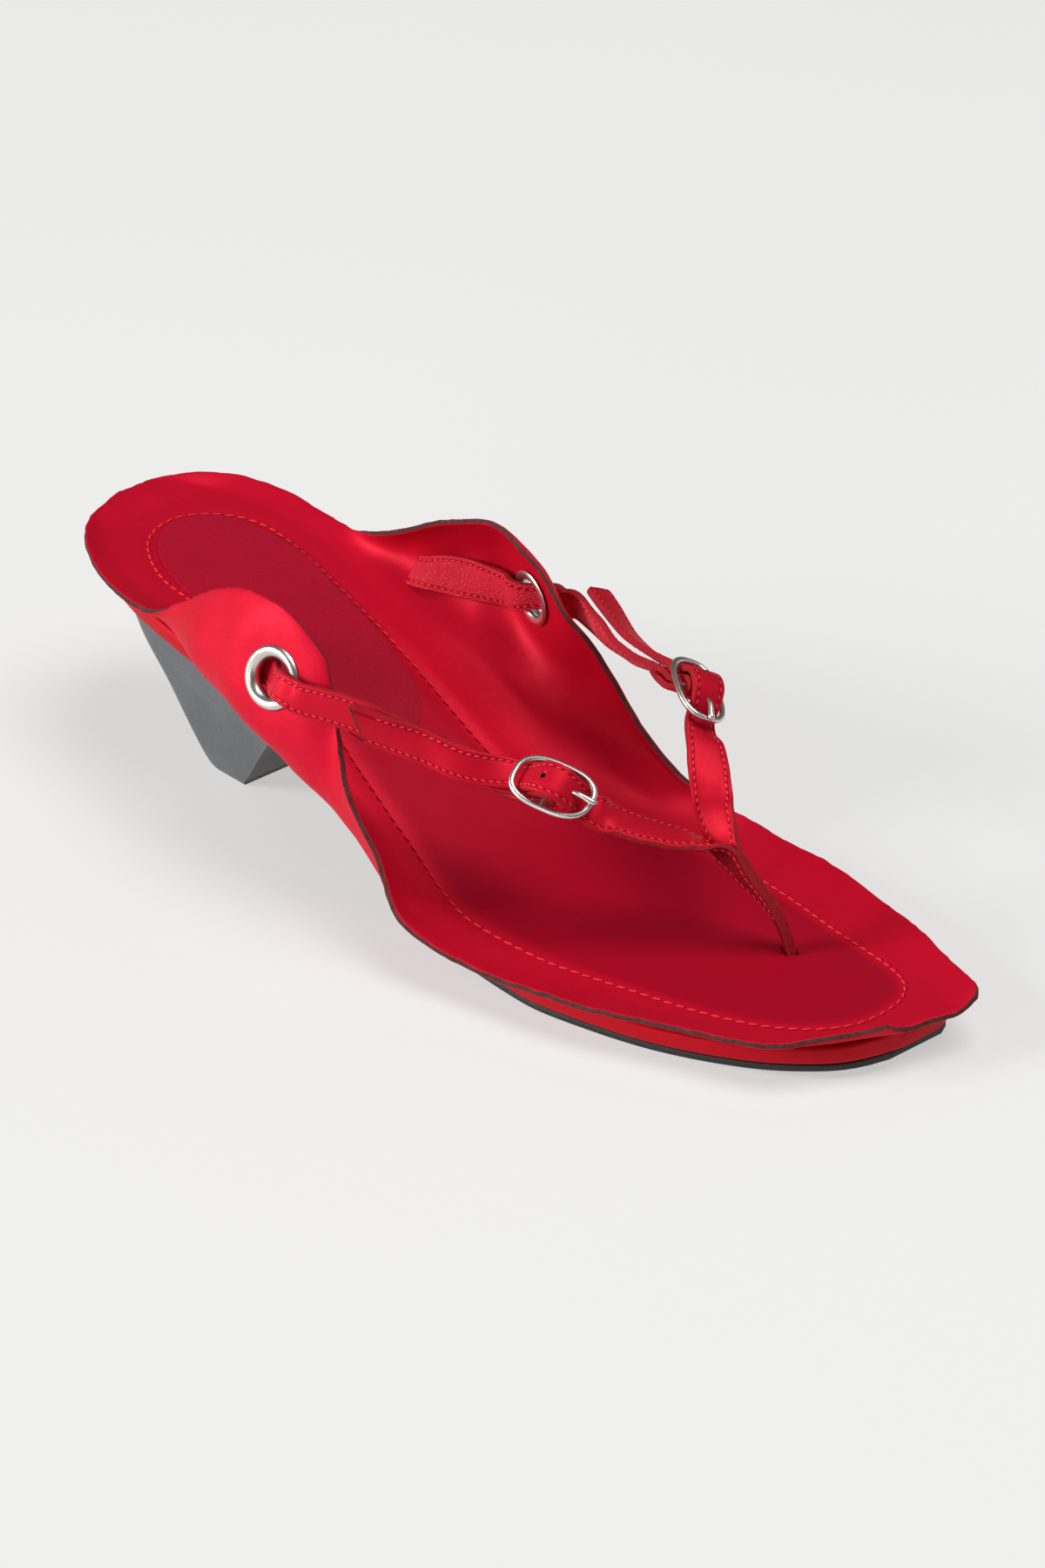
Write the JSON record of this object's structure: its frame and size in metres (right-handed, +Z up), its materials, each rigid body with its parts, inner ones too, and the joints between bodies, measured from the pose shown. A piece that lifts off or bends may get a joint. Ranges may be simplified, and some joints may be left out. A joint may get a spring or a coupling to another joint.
{
  "type": "heeled toe post sandal",
  "caption": "Right-foot toe-post sandal on a block heel: one leather sheet rolled into two side wings, buckled straps through eyelets, and a Y-shaped yoke.",
  "frame": {"origin": "on the floor, on the flat underside of the heel block, under the middle of its width", "axes": "+Y to the toe, +X to the outer side of the right foot, +Z up"},
  "size_m": [0.0927, 0.259, 0.0689],
  "materials": {
    "satin_red": "satin-faced leather",
    "insole_wrap": "satin wrap over a board",
    "heel_charcoal": "satin charcoal grey",
    "sole_black": "matt",
    "nickel": "polished nickel"
  },
  "bodies": {
    "root": {"upper_sheet": "satin_red", "insole": "insole_wrap", "outsole": "sole_black", "heel_block": "heel_charcoal", "thong_yoke": "satin_red", "strap_lateral": "satin_red", "strap_medial": "satin_red", "eyelet_lateral": "nickel", "eyelet_medial": "nickel", "buckle_frame_lateral": "nickel", "buckle_frame_medial": "nickel", "buckle_prong_lateral": "nickel", "buckle_prong_medial": "nickel"}
  },
  "joints": []
}
